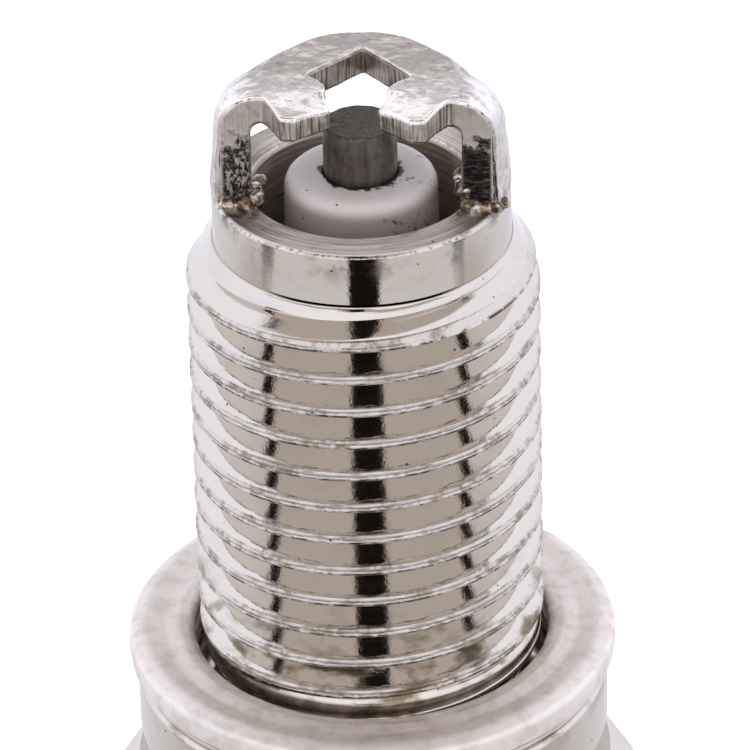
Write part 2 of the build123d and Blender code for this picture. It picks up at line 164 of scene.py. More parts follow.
# --- mesh tools ---
def placed(name, data):
    """A new object in the scene."""
    made = bpy.data.objects.new(name, data)
    bpy.context.scene.collection.objects.link(made)
    return made


def smooth_step(value, low, high):
    """0 below low, 1 above high, an S curve between."""
    t = min(1, max(0, (value - low) / (high - low)))
    return t * t * (3 - 2 * t)


def new_piece(name, vertices, faces, crease_angle):
    """A smooth-shaded mesh object from millimetre vertices, sharp above crease_angle."""
    mesh = bpy.data.meshes.new(name)
    mesh.from_pydata([(x * MM, y * MM, z * MM) for x, y, z in vertices], [], faces)
    mesh.validate()
    tidy = bmesh.new()
    tidy.from_mesh(mesh)
    bmesh.ops.recalc_face_normals(tidy, faces=tidy.faces)
    tidy.to_mesh(mesh)
    tidy.free()
    mesh.shade_smooth()
    mesh.set_sharp_from_angle(angle=radians(crease_angle))
    return placed(name, mesh)


def rounded(corners):
    """A profile path from corners (r, z, corner radius); the ends stay sharp."""
    path = []
    for index, (r, z, corner) in enumerate(corners):
        if corner == 0 or index in (0, len(corners) - 1):
            path.append((r, z))
            continue
        point = Vector((r, z))
        back = Vector(corners[index - 1][:2]) - point
        ahead = Vector(corners[index + 1][:2]) - point
        reach = corner / tan(back.angle(ahead) / 2)
        reach = min(reach, back.length * 0.48, ahead.length * 0.48)
        start = point + back.normalized() * reach
        end = point + ahead.normalized() * reach
        for step in range(CORNER_STEPS + 1):
            t = step / CORNER_STEPS
            spot = start * (1 - t) ** 2 + point * (2 * t * (1 - t)) + end * t ** 2
            path.append((spot.x, spot.y))
    return path


def lathe(name, path, segments, closed=False, wobble=None, crease_angle=40):
    """Turns a profile path about +Z. wobble(angle, r, z) may add to r and z."""
    vertices = []
    rings = []
    for r, z in path:
        if r < 1e-6:
            rings.append([len(vertices)])
            vertices.append((0, 0, z))
            continue
        ring = []
        for step in range(segments):
            angle = 2 * pi * step / segments
            add_r, add_z = wobble(angle, r, z) if wobble else (0, 0)
            ring.append(len(vertices))
            vertices.append(((r + add_r) * cos(angle), (r + add_r) * sin(angle), z + add_z))
        rings.append(ring)
    pairs = list(zip(rings, rings[1:]))
    if closed:
        pairs.append((rings[-1], rings[0]))
    faces = []
    for low, high in pairs:
        for step in range(segments):
            after = (step + 1) % segments
            if len(low) == 1:
                faces.append((low[0], high[after], high[step]))
            elif len(high) == 1:
                faces.append((low[step], low[after], high[0]))
            else:
                faces.append((low[step], low[after], high[after], high[step]))
    return new_piece(name, vertices, faces, crease_angle)


def helical_thread(name, profile, pitch, base_z, turns, limits, columns, ragged=None):
    """A right-hand thread surface. profile is one pitch of (height, r); limits(z) bound r."""
    count = len(profile)
    rows = turns * count
    vertices = []
    for row in range(rows):
        height, r = profile[row % count]
        for column in range(columns):
            angle = 2 * pi * column / columns
            z = base_z + pitch * (row // count) + height + pitch * angle / (2 * pi)
            radius = r + (ragged(angle, z, row % count) if ragged else 0)
            least, most = limits(z)
            radius = min(max(radius, least), most)
            vertices.append((radius * cos(angle), radius * sin(angle), z))
    faces = []
    for row in range(rows - count - 1):
        low = row * columns
        high = low + columns
        for column in range(columns):
            # the last column joins the first one a whole pitch higher
            after = column + 1 if column + 1 < columns else count * columns
            faces.append((low + column, low + after, high + after, high + column))
    return new_piece(name, vertices, faces, crease_angle=50)


# --- node tools ---
class Nodes:
    """A node tree being built: short calls that add a node and return its output socket."""

    def __init__(self, tree):
        self.tree = tree

    def node(self, kind, **settings):
        made = self.tree.nodes.new(kind)
        for key, value in settings.items():
            setattr(made, key, value)
        return made

    def plug(self, value, socket):
        """Sets a socket to a number or a colour, or links another socket to it."""
        if isinstance(value, bpy.types.NodeSocket):
            self.tree.links.new(value, socket)
        elif isinstance(value, tuple):
            socket.default_value = (*value, 1)
        elif value is not None:
            socket.default_value = value

    def plugged(self, made, *values):
        """A node's output, once its first inputs have their values."""
        for value, socket in zip(values, made.inputs):
            self.plug(value, socket)
        return made.outputs[0]

    def parts(self, vector):
        """The x, y and z of a vector."""
        made = self.node("ShaderNodeSeparateXYZ")
        self.plug(vector, made.inputs[0])
        return made.outputs

    def math(self, operation, a, b=None):
        return self.plugged(self.node("ShaderNodeMath", operation=operation), a, b)

    def times(self, a, b):
        return self.math("MULTIPLY", a, b)

    def plus(self, a, b):
        return self.math("ADD", a, b)

    def minus(self, a, b):
        return self.math("SUBTRACT", a, b)

    def largest(self, a, b):
        return self.math("MAXIMUM", a, b)

    def size(self, value):
        return self.math("ABSOLUTE", value)

    def ramp(self, value, low, high, out_low=0, out_high=1):
        """Smooth step of value from low to high."""
        made = self.node("ShaderNodeMapRange", interpolation_type="SMOOTHSTEP")
        return self.plugged(made, value, low, high, out_low, out_high)

    def near(self, value, low, high):
        """1 where value is within low of 0 on either side, down to 0 at high."""
        return self.ramp(self.size(value), low, high, 1, 0)

    def blend(self, amount, a, b):
        """Mixes colours a and b, given as 3-tuples or sockets."""
        made = self.node("ShaderNodeMix", data_type="RGBA")
        for value, socket in zip((amount, a, b), (made.inputs[0], *made.inputs[6:8])):
            self.plug(value, socket)
        return made.outputs[2]


class Look(Nodes):
    """A material being built, with its places in millimetres in the plug's frame."""

    def __init__(self, name, **constants):
        self.material = bpy.data.materials.new(name)
        self.material.use_nodes = True
        super().__init__(self.material.node_tree)
        self.shader = self.tree.nodes["Principled BSDF"]
        for socket, value in constants.items():
            self.shader.inputs[socket.replace("_", " ")].default_value = value
        scale = self.node("ShaderNodeVectorMath", operation="SCALE")
        scale.inputs["Scale"].default_value = 1 / MM
        self.place = self.plugged(scale, self.node("ShaderNodeTexCoord").outputs["Object"])
        self.x, self.y, self.z = self.parts(self.place)

    def vector(self, x, y, z):
        return self.plugged(self.node("ShaderNodeCombineXYZ"), x, y, z)

    def distance(self, x, y):
        """Length of the flat vector (x, y)."""
        return self.math("SQRT", self.plus(self.times(x, x), self.times(y, y)))

    def radius(self):
        """Distance from the plug's axis, in millimetres."""
        return self.distance(self.x, self.y)

    def turned(self, around, across):
        """Coordinates in which noise stretches round the axis, like marks of a lathe tool."""
        r = self.radius()
        ways = self.vector(self.times(self.math("DIVIDE", self.x, r), around),
                           self.times(self.math("DIVIDE", self.y, r), around),
                           self.times(self.z, across))
        outward = self.vector(0, 0, self.times(r, across))
        return self.plugged(self.node("ShaderNodeVectorMath", operation="ADD"), ways, outward)

    def stretched(self, x, y, z):
        """The place scaled by x, y and z, so noise on it is drawn out the other way."""
        return self.vector(self.times(self.x, x), self.times(self.y, y), self.times(self.z, z))

    def attribute(self, name):
        """A number stored on the mesh."""
        return self.node("ShaderNodeAttribute", attribute_name=name).outputs["Fac"]

    def noise(self, where, scale, detail=4, rough=0.55, distortion=0):
        made = self.node("ShaderNodeTexNoise")
        made.inputs["Scale"].default_value = scale
        made.inputs["Detail"].default_value = detail
        made.inputs["Roughness"].default_value = rough
        made.inputs["Distortion"].default_value = distortion
        return self.plugged(made, where)

    def patches(self, scale, detail, low, high, out_low=0, out_high=1, rough=0.55):
        """Patches of noise over the place: a smooth step of it from low to high."""
        return self.ramp(self.noise(self.place, scale, detail, rough), low, high, out_low, out_high)

    def spots(self, where, scale):
        made = self.node("ShaderNodeTexVoronoi")
        made.inputs["Scale"].default_value = scale
        self.plug(where, made.inputs["Vector"])
        return made.outputs["Distance"]

    def bump(self, height, depth_mm, below=None):
        """A bump of depth_mm from a height between 0 and 1, on top of another bump."""
        made = self.node("ShaderNodeBump")
        made.inputs["Strength"].default_value = 1
        made.inputs["Distance"].default_value = depth_mm * MM
        self.plug(height, made.inputs["Height"])
        self.plug(below, made.inputs["Normal"])
        return made.outputs[0]

    def finish(self, colour=None, roughness=None, normal=None):
        for value, socket in ((colour, "Base Color"), (roughness, "Roughness"), (normal, "Normal")):
            self.plug(value, self.shader.inputs[socket])
        return self.material


# --- materials ---
NICKEL = (0.71, 0.65, 0.58)
# dark colour for dirt, pits and soot, and also for painted shade under the thread crests and the collar
DIRT_AND_SHADE = (0.030, 0.022, 0.015)
OLIVE = (0.20, 0.15, 0.075)
BROWN = (0.17, 0.11, 0.06)
SOOT = (0.055, 0.042, 0.030)
SCORCH_X = 4.05  # soot in front of the two weld feet
SCORCH_Y = -1.9


def above_crest(look):
    """Height above the nearest thread crest, in millimetres, and below 0 under it."""
    turn = look.math("DIVIDE", look.math("ARCTAN2", look.y, look.x), 2 * pi)
    height = look.minus(look.z, CREST_RIGHT_Z)
    phase = look.minus(look.math("DIVIDE", height, THREAD_PITCH), turn)
    phase = look.minus(look.math("FRACT", look.plus(phase, 0.5)), 0.5)
    return look.times(phase, THREAD_PITCH)


def crest_marks(look, torn, cloud):
    """Marks of rolling on the thread: the crests, their brown stain, and dark marks in the fold and
    under each crest, which are partly dirt and partly painted shade.
    """
    above = above_crest(look)
    threaded = look.times(look.ramp(look.z, LEAD_IN_Z - 0.06, LEAD_IN_Z, 1, 0),
                          look.ramp(look.z, RUN_OUT_Z + 0.11, RUN_OUT_Z + 0.31))
    threaded = look.times(threaded, look.ramp(look.radius(), THREAD_ROOT_R + 0.13, THREAD_ROOT_R + 0.33))
    crest = look.times(threaded, look.near(above, 0.15, 0.22))
    fold = look.times(threaded, look.near(above, 0.012, 0.035))
    under = look.times(threaded, look.ramp(above, -0.21, -0.14))
    under = look.times(under, look.ramp(above, -0.10, -0.04, 1, 0))
    stain = look.times(look.patches(0.7, 4, 0.47, 0.58), crest)
    stain = look.times(stain, look.ramp(torn, 0.40, 0.60, 0, 0.75))
    # patches of dark along the crest fold and under each crest: partly dirt, partly painted shade under
    # the overhang
    shade_and_dirt = look.ramp(look.plus(torn, look.times(cloud, 0.7)), 0.79, 0.90)
    shade_and_dirt = look.times(shade_and_dirt, look.ramp(look.z, CREST_Z + 0.02, CREST_Z + 0.15, 1, 0))
    return crest, stain, look.times(shade_and_dirt, look.largest(look.times(fold, 0.5), under))


def foot_scorch(look):
    """Soot on the end face, in front of the two weld feet."""
    from_foot = look.distance(look.minus(look.size(look.x), SCORCH_X), look.minus(look.y, SCORCH_Y))
    scorch = look.times(look.near(from_foot, 0.4, 1.1), look.ramp(look.z, REACH - 0.6, REACH - 0.1))
    return look.times(scorch, look.patches(2.2, 6, 0.40, 0.58, 0, 0.85))


def nickel_plate():
    """Bright nickel on turned and rolled steel: fine lines, pits, torn crests, heat stain, and painted
    shade in the crest folds, under the crests and under the collar.

    The hexagon and the lip below it are duller, as they come from the forming press.
    """
    look = Look("nickel_plate", Metallic=1.0)
    turning = look.noise(look.turned(1.5, 9), 1.0, detail=6)
    torn = look.noise(look.turned(16, 14), 1.0, detail=7, rough=0.68)
    cloud = look.noise(look.place, 1.1, detail=3)
    crest, crest_stain, crest_shade_and_dirt = crest_marks(look, torn, cloud)

    pits = look.ramp(look.spots(look.place, 1.5), 0.04, 0.11, 1, 0)
    pits = look.times(pits, look.patches(0.6, 1, 0.54, 0.60))
    speckle = look.times(look.patches(7, 6, 0.67, 0.71, rough=0.7), look.ramp(cloud, 0.50, 0.62))
    stain = look.ramp(look.noise(look.stretched(0.55, 0.55, 1.4), 1.0, detail=6), 0.50, 0.66)
    stain = look.times(stain, look.ramp(look.z, 2.2, 6.0, 0.95, 0.05))
    stain = look.times(stain, look.ramp(look.z, -1.0, 0.5))
    rusty = look.ramp(look.z, REACH - 1.6, REACH - 0.2, 0, 0.50)
    rusty = look.times(rusty, look.patches(0.8, 6, 0.48, 0.62))
    rim = look.near(look.minus(look.z, REACH - 0.07), 0.02, 0.08)
    rim = look.times(rim, look.patches(6, 5, 0.50, 0.60, 0, 0.7))
    # painted shade: a dark line in the step under the collar, at the front and the back
    collar_step_shade = look.near(look.minus(look.z, LEAD_IN_Z), 0.012, 0.05)
    collar_step_shade = look.times(collar_step_shade, look.near(look.x, 2.2, 3.4))
    end_face = look.ramp(look.z, REACH - 0.06, REACH - 0.02)
    bore = look.times(look.ramp(look.radius(), MOUTH_R + 0.04, MOUTH_R + 0.12, 1, 0),
                      look.ramp(look.z, REACH - 9, REACH - 7))
    warmed = look.times(end_face, look.ramp(look.size(look.x), 2.4, 4.0, 0, 0.5))

    machined = (0.90, 0.83, 0.76)
    dull_bore = (0.80, 0.70, 0.60)
    worn_crest = (0.27, 0.20, 0.12)
    colour = look.blend(stain, NICKEL, OLIVE)
    colour = look.blend(look.largest(rusty, rim), colour, BROWN)
    colour = look.blend(look.times(end_face, look.ramp(turning, 0.42, 0.6)), colour, machined)
    colour = look.blend(look.times(bore, look.ramp(turning, 0.35, 0.6, 0.55, 0.95)), colour, dull_bore)
    colour = look.blend(crest_stain, colour, worn_crest)
    colour = look.blend(warmed, colour, BROWN)
    colour = look.blend(foot_scorch(look), colour, SOOT)
    # painted shade and dirt in the crest folds and under the crests, and dark speckle
    colour = look.blend(look.largest(crest_shade_and_dirt, look.times(speckle, 0.8)), colour, DIRT_AND_SHADE)
    # dark pits, and the painted shade line under the collar
    colour = look.blend(look.largest(pits, collar_step_shade), colour, DIRT_AND_SHADE)

    rough = look.ramp(turning, 0.3, 0.7, 0.045, 0.085)
    rough = look.plus(rough, look.times(look.plus(look.largest(stain, rusty), crest), 0.25))
    rough = look.plus(rough, look.times(look.largest(end_face, bore), 0.40))
    rough = look.plus(rough, look.ramp(look.z, HEX_TOP - 0.1, HEX_TOP + 0.1, 0.30, 0))
    normal = look.bump(look.noise(look.place, 0.9, detail=2), 0.006)
    normal = look.bump(turning, 0.0009, below=normal)
    normal = look.bump(look.noise(look.place, 9, detail=3), 0.0020, below=normal)
    normal = look.bump(look.times(crest, torn), 0.045, below=normal)
    return look.finish(colour, rough, normal)


def gasket_steel():
    """Satin nickel on pressed sheet: soft dents, round brushing, brown in the inner fold."""
    look = Look("gasket_steel", Metallic=1.0)
    brushing = look.noise(look.turned(3, 16), 1.0, detail=6)
    inner = look.ramp(look.radius(), GASKET_HOLE_R + 0.05, GASKET_HOLE_R + 0.38, 1, 0)
    rust = look.times(inner, look.patches(1.6, 5, 0.30, 0.62, 0.35, 1))
    seam = look.near(look.minus(look.z, GASKET_LOW + 0.5), 0.02, 0.06)
    seam = look.times(seam, look.ramp(look.radius(), GASKET_R - 0.3, GASKET_R - 0.2))
    speckle = look.patches(8, 6, 0.66, 0.72, 0, 0.6, rough=0.7)
    worn = look.patches(1.3, 7, 0.44, 0.66, 0, 0.6, rough=0.6)
    colour = look.blend(worn, (0.95, 0.875, 0.81), (0.74, 0.67, 0.61))
    colour = look.blend(look.times(rust, 0.55), colour, BROWN)
    colour = look.blend(look.largest(seam, speckle), colour, (0.16, 0.12, 0.09))
    rough = look.ramp(brushing, 0.3, 0.7, 0.50, 0.62)
    normal = look.bump(look.noise(look.place, 0.8, detail=2), 0.05)
    normal = look.bump(brushing, 0.004, below=normal)
    normal = look.bump(look.noise(look.place, 9, detail=5), 0.010, below=normal)
    return look.finish(colour, rough, normal)


def bridge_alloy():
    """Pressed nickel strap: hammered skin, and sheared edges with draw lines and torn metal. The front
    of its top has a painted highlight.
    """
    look = Look("bridge_alloy", Metallic=1.0)
    cut = look.attribute("sheared")
    lines = look.noise(look.stretched(9, 9, 0.5), 1.0, detail=7, rough=0.6)
    leg = look.ramp(look.size(look.x), 3.0, 3.3)
    drawn = look.times(look.times(look.ramp(lines, 0.44, 0.62), look.minus(1, leg)), cut)

    # low on the legs the cut metal is torn, into cracks on the left and scrapes on the right
    cracks = look.noise(look.stretched(7, 7, 4.5), 1.0, detail=8, rough=0.72)
    scrapes = look.noise(look.stretched(3, 3, 12), 1.0, detail=8, rough=0.72)
    torn = look.blend(look.ramp(look.x, -0.5, 0.5), cracks, scrapes)
    ragged_z = look.plus(look.z, look.patches(2.2, 5, 0.3, 0.7, -0.4, 0.4))
    low_leg = look.times(leg, look.ramp(ragged_z, BRIDGE_TOP - 1.85, BRIDGE_TOP - 1.45, 1, 0))
    right = look.ramp(look.x, -1, 1, 0.0, 0.16)
    pitted = look.ramp(torn, look.plus(0.47, right), look.plus(0.57, right), 1, 0)
    pitted = look.times(look.times(pitted, low_leg), cut)

    foot = look.ramp(look.z, REACH + 0.1, REACH + 0.8, 1, 0)
    heat = look.times(foot, look.patches(1.4, 4, 0.4, 0.6))
    cloud = look.noise(look.place, 1.1, detail=6)
    smear = look.times(look.patches(2.4, 7, 0.48, 0.64, rough=0.65), look.ramp(cloud, 0.44, 0.60))
    on_top = look.ramp(look.z, BRIDGE_TOP - 1.1, BRIDGE_TOP - 0.4)
    # mask for a painted highlight on the front of the strap's top, fading out towards the back
    front_top = look.times(look.ramp(look.y, -1.2, 0.9, 1, 0), on_top)
    shoulder = look.ramp(look.radius(), 3.2, 4.3, 0.0, 0.55)
    mottle = look.times(look.patches(1.9, 6, 0.48, 0.64, rough=0.65), shoulder)

    # painted highlight: the front of the top takes a lighter copy of the skin colour
    skin = look.blend(front_top, (0.70, 0.635, 0.57), (0.97, 0.90, 0.83))
    pit = look.blend(look.ramp(scrapes, 0.46, 0.62), (0.022, 0.017, 0.015), (0.15, 0.13, 0.115))
    colour = look.blend(cut, skin, (0.66, 0.59, 0.52))
    colour = look.blend(look.times(smear, 0.42), colour, (0.22, 0.19, 0.165))
    colour = look.blend(look.times(mottle, look.minus(1, cut)), colour, (0.30, 0.26, 0.23))
    colour = look.blend(look.times(drawn, 0.85), colour, (0.12, 0.085, 0.06))
    colour = look.blend(look.times(heat, 0.75), colour, BROWN)
    colour = look.blend(pitted, colour, pit)

    rough = look.plus(look.ramp(cloud, 0.3, 0.7, 0.13, 0.27), look.times(cut, 0.20))
    hammered = look.noise(look.place, 0.9, detail=3)
    normal = look.bump(look.times(hammered, look.plus(look.times(on_top, 0.7), 0.3)), 0.11)
    normal = look.bump(look.noise(look.place, 4.5, detail=4), 0.006, below=normal)
    normal = look.bump(look.noise(look.stretched(3, 9, 3), 1.0, detail=6), 0.003, below=normal)
    normal = look.bump(look.times(cut, lines), 0.05, below=normal)
    normal = look.bump(look.times(look.times(cut, low_leg), torn), 0.16, below=normal)
    return look.finish(colour, rough, normal)


def weld_metal():
    """Metal squeezed out by the resistance weld: straw to brown heat colours, sooty hollows."""
    look = Look("weld_metal", Metallic=1.0)
    heat = look.noise(look.place, 2.2, detail=6, distortion=0.6)
    soot = look.patches(4.0, 7, 0.50, 0.60, rough=0.7)
    colour = look.blend(look.ramp(heat, 0.38, 0.58), (0.74, 0.68, 0.61), (0.25, 0.17, 0.10))
    colour = look.blend(look.times(soot, 0.8), colour, DIRT_AND_SHADE)
    rough = look.ramp(heat, 0.3, 0.7, 0.16, 0.40)
    normal = look.bump(look.noise(look.place, 3.5, detail=5), 0.04)
    return look.finish(colour, rough, normal)


def electrode_alloy():
    """Heat-blackened nickel alloy rod with drawing streaks along it and a sooty foot."""
    look = Look("electrode_alloy", Metallic=0.85)
    streaks = look.noise(look.stretched(6, 6, 0.9), 1.0, detail=6)
    mottle = look.noise(look.place, 2.0, detail=6)
    foot = look.ramp(look.z, NOSE_TIP + 0.02, NOSE_TIP + 0.35, 1, 0)
    lit = look.ramp(look.x, -0.4, 1.2)
    colour = look.blend(look.ramp(streaks, 0.35, 0.65), (0.085, 0.067, 0.056), (0.15, 0.125, 0.11))
    colour = look.blend(look.ramp(mottle, 0.42, 0.68, 0, 0.6), colour, (0.20, 0.175, 0.155))
    colour = look.blend(look.times(lit, 0.35), colour, (0.26, 0.235, 0.22))
    colour = look.blend(look.times(foot, 0.6), colour, (0.045, 0.034, 0.028))
    rough = look.ramp(mottle, 0.3, 0.7, 0.38, 0.52)
    normal = look.bump(streaks, 0.02)
    normal = look.bump(look.noise(look.place, 9, detail=5), 0.02, below=normal)
    return look.finish(colour, rough, normal)


def alumina():
    """Fired alumina: matt and faintly rosy at the nose, glazed white on the outside barrel, with painted
    shade on the crown of the nose.
    """
    look = Look("alumina", Subsurface_Weight=0.12, Subsurface_Scale=0.6 * MM)
    look.shader.inputs["Subsurface Radius"].default_value = (1.0, 0.8, 0.7)
    cloud = look.noise(look.place, 0.9, detail=4)
    specks = look.ramp(look.spots(look.place, 2.2), 0.05, 0.13, 1, 0)
    specks = look.times(specks, look.patches(0.7, 1, 0.46, 0.54))
    flecks = look.patches(4, 7, 0.54, 0.60, 0, 0.9, rough=0.75)
    flecks = look.times(flecks, look.patches(0.9, 2, 0.47, 0.55))
    flecks = look.times(flecks, look.ramp(look.x, 0.0, 1.2, 0.05, 1))
    nose = look.ramp(look.z, 0.0, 2.0)
    ring = look.plus(look.radius(), look.patches(3, 4, 0.3, 0.7, -0.12, 0.12))
    soot = look.times(look.ramp(ring, ELECTRODE_BORE_R + 0.05, ELECTRODE_BORE_R + 0.16, 1, 0), nose)
    colour = look.blend(cloud, (0.83, 0.755, 0.70), (0.77, 0.69, 0.64))
    # painted shade: the crown of the nose takes a darker copy of the nose colour
    crown = look.ramp(look.z, NOSE_TIP - 0.60, NOSE_TIP - 0.05)
    colour = look.blend(crown, look.blend(cloud, (0.41, 0.355, 0.315), (0.36, 0.31, 0.28)), colour)
    colour = look.blend(nose, (0.78, 0.745, 0.675), colour)
    colour = look.blend(look.times(look.largest(specks, flecks), nose), colour, (0.07, 0.055, 0.045))
    colour = look.blend(soot, colour, (0.03, 0.024, 0.02))
    rough = look.ramp(look.z, -0.5, 1.5, 0.10, 0.42)
    grain = look.times(look.noise(look.place, 14, detail=4), nose)
    return look.finish(colour, rough, look.bump(grain, 0.008))


def stud_steel():
    """Nickel plated terminal metal with turning rings and a few handling scratches."""
    look = Look("stud_steel", Metallic=1.0)
    rings = look.noise(look.turned(1.2, 14), 1.0, detail=6)
    scratch = look.ramp(look.noise(look.stretched(2, 2, 18), 1.0, detail=6), 0.60, 0.70)
    colour = look.blend(look.times(scratch, 0.3), (0.82, 0.80, 0.77), (0.45, 0.42, 0.38))
    rough = look.ramp(rings, 0.3, 0.7, 0.12, 0.24)
    return look.finish(colour, rough, look.bump(rings, 0.004))


def inner_metal(name, colour, dull):
    """Plain inner metal parts: drawn copper and steel wire, with tarnish."""
    look = Look(name, Metallic=1.0)
    tarnish = look.noise(look.place, 1.8, detail=5)
    dark = tuple(channel * 0.55 for channel in colour)
    mixed = look.blend(look.ramp(tarnish, 0.4, 0.7, 0, 0.7), colour, dark)
    rough = look.ramp(tarnish, 0.3, 0.7, dull, dull + 0.2)
    return look.finish(mixed, rough, look.bump(look.noise(look.turned(3, 12), 1.0, detail=5), 0.006))


def inner_fill(name, colour, grain):
    """Pressed or fused fillings: glass seals, resistor and talc, grainy all through."""
    look = Look(name, Roughness=0.6)
    fine = look.noise(look.place, grain, detail=7, rough=0.65)
    light = tuple(min(1, channel * 1.5 + 0.02) for channel in colour)
    mixed = look.blend(look.ramp(fine, 0.4, 0.65), colour, light)
    return look.finish(mixed, normal=look.bump(fine, 0.02))


LOOKS = {
    "nickel_plate": nickel_plate(),
    "gasket_steel": gasket_steel(),
    "nickel_alloy": bridge_alloy(),
    "electrode_alloy": electrode_alloy(),
    "alumina": alumina(),
    "stud_steel": stud_steel(),
    "weld_metal": weld_metal(),
    "copper": inner_metal("copper", (0.80, 0.42, 0.27), 0.25),
    "packing_steel": inner_metal("packing_steel", (0.52, 0.50, 0.48), 0.35),
    "glass_seal": inner_fill("glass_seal", (0.07, 0.07, 0.08), 5),
    "resistor_carbon": inner_fill("resistor_carbon", (0.045, 0.042, 0.04), 8),
    "talc": inner_fill("talc", (0.62, 0.62, 0.60), 6),
}


def dress(piece, look_name, body="plug", replaced=()):
    """Gives a new piece its material, its body and the CAD nodes it stands for."""
    piece.data.materials.clear()
    piece.data.materials.append(LOOKS[look_name])
    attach(piece, body)
    if replaced:
        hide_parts(*replaced)


# --- metal shell ---
def turned_marks(start, end, count, depth, seed):
    """Points from start to end with small random steps across, like tool marks in a bore."""
    marks = random.Random(seed)
    across = Vector((end[1] - start[1], start[0] - end[0])).normalized()
    points = []
    for step in range(1, count):
        t = step / count
        offset = depth * marks.uniform(-1, 1)
        r = start[0] + (end[0] - start[0]) * t + across.x * offset
        z = start[1] + (end[1] - start[1]) * t + across.y * offset
        points.append((r, z, 0))
    return points


def shell_profile():
    """Turned outline of the shell, from the mouth down the outside and back up the bore."""
    face_inner = (MOUTH_R + 0.14, REACH - 0.01)
    face_outer = (COLLAR_R - 0.19, REACH - 0.005)
    mouth_low = (MOUTH_R, MOUTH_LOW)
    mouth_high = (MOUTH_R + 0.02, REACH - 0.16)
    return rounded([
        (*face_inner, 0),
        *turned_marks(face_inner, face_outer, count=26, depth=0.006, seed=4),
        (*face_outer, 0),
        (COLLAR_R - 0.13, REACH, 0.03),
        (COLLAR_R - 0.01, REACH - 0.12, 0.05),
        (COLLAR_R, LEAD_IN_Z + 0.04, 0),
        (COLLAR_R - 0.06, LEAD_IN_Z + 0.01, 0),
        (LEAD_IN_R, LEAD_IN_Z - 0.02, 0.01),
        (THREAD_ROOT_R, LEAD_IN_Z - 0.13, 0.01),
        (CORE_R, LEAD_IN_Z - 0.5, 0),
        (CORE_R, 1.1, 0),
        (RELIEF_R, 0.9, 0.1),
        (RELIEF_R, 0.05, 0.2),
        (5.5, 0.0, 0),
        (FLANGE_R, 0.0, 0.22),
        (FLANGE_R, -2.4, 0.3),
        (GROOVE_R, -2.68, 0.25),
        (GROOVE_R, HEX_TOP + 0.1, 0.1),
        (HEX_CORE_R, HEX_TOP - 0.3, 0),
        (HEX_CORE_R, HEX_BOTTOM + 0.3, 0),
        (LIP_ROOT_R, HEX_BOTTOM - 0.1, 0.05),
        (LIP_ROOT_R, HEX_BOTTOM - 0.7, 1.2),
        (5.9, LIP_BOTTOM, 0.5),
        (LIP_HOLE_R, LIP_BOTTOM, 0.18),
        (LIP_HOLE_R, LIP_BOTTOM + 0.9, 0.1),
        (CHAMBER_R, LIP_BOTTOM + 1.6, 0.2),
        (CHAMBER_R, -3.6, 0.1),
        (BORE_R, -2.6, 0.1),
        (BORE_R, 6.0, 0.05),
        (SEAT_R, 6.6, 0.05),
        (SEAT_R, 7.6, 0.05),
        (MOUTH_R, 8.2, 0.05),
        (*mouth_low, 0),
        *turned_marks(mouth_low, mouth_high, count=90, depth=0.012, seed=7),
        (*mouth_high, 0),
    ])


def shell_wobble(angle, r, z):
    """Slight unevenness of the cold-formed shell."""
    spot = Vector((cos(angle) * 2, sin(angle) * 2, z * 0.4))
    return 0.008 * noise.noise(spot), 0


def thread_profile(pitch, root_r, crest_r, half_crest, lip):
    """One pitch of a rolled 60 degree thread, crest first, as (height, r).

    Rolling leaves the crest as two lips with a fine fold between them.
    """
    depth = crest_r - root_r
    flank = depth * tan(radians(30))
    upper = [
        (0, crest_r - lip),
        (half_crest * 0.35, crest_r - lip * 0.3),
        (half_crest * 0.60, crest_r),
        (half_crest * 0.85, crest_r - lip * 0.25),
        (half_crest * 1.0, crest_r - lip),
    ]
    for step in (0.08, 0.16, 0.35, 0.55, 0.75, 0.90, 0.97):
        upper.append((half_crest + flank * step, crest_r - depth * step))
    lower = [(pitch - height, r) for height, r in reversed(upper[1:])]
    return upper + [(pitch / 2, root_r)] + lower


def shell_limits(z):
    """Least and largest radius of the shell thread at a height.

    The grooves fade into a plain band at the lower end, and a cone leads in at the upper.
    Past its cones the surface dives under the turned body.
    """
    groove = RUN_OUT_R + (THREAD_ROOT_R - RUN_OUT_R) * smooth_step(z, 1.75, 2.35)
    crest = RUN_OUT_R + 0.05 + (THREAD_R + 0.05 - RUN_OUT_R) * smooth_step(z, 1.5, 2.9)
    lead_in = LEAD_IN_R + (LEAD_IN_Z - z) * LEAD_IN_SLOPE
    dive = LEAD_IN_R + (LEAD_IN_Z - 0.05 - z) * 3
    run_out = RELIEF_R - 0.04 + (z - RUN_OUT_Z) * RUN_OUT_SLOPE
    return groove, max(CORE_R - 0.15, min(lead_in, dive, run_out, crest))


def ragged_crest(angle, z, row):
    """Torn metal along the two lips of a rolled crest, and none in the groove's rows."""
    groove_rows = range(6, 21)
    if row in groove_rows:
        return 0
    spot = Vector((cos(angle) * 8, sin(angle) * 8, z * 5 + row))
    return -0.032 * max(0, noise.noise(spot)) - 0.022 * max(0, noise.noise(spot * 3.3))


def build_shell():
    body = lathe("shell_body", shell_profile(), 360, closed=True, wobble=shell_wobble)
    profile = thread_profile(THREAD_PITCH, THREAD_ROOT_R, THREAD_R, half_crest=0.145, lip=0.040)
    turns = 15
    base = CREST_RIGHT_Z - (turns - 2) * THREAD_PITCH
    thread = helical_thread("shell_thread", profile, THREAD_PITCH, base, turns, shell_limits,
                            columns=480, ragged=ragged_crest)
    dress(body, "nickel_plate", replaced=("metal_shell",))
    dress(thread, "nickel_plate", replaced=("metal_shell",))


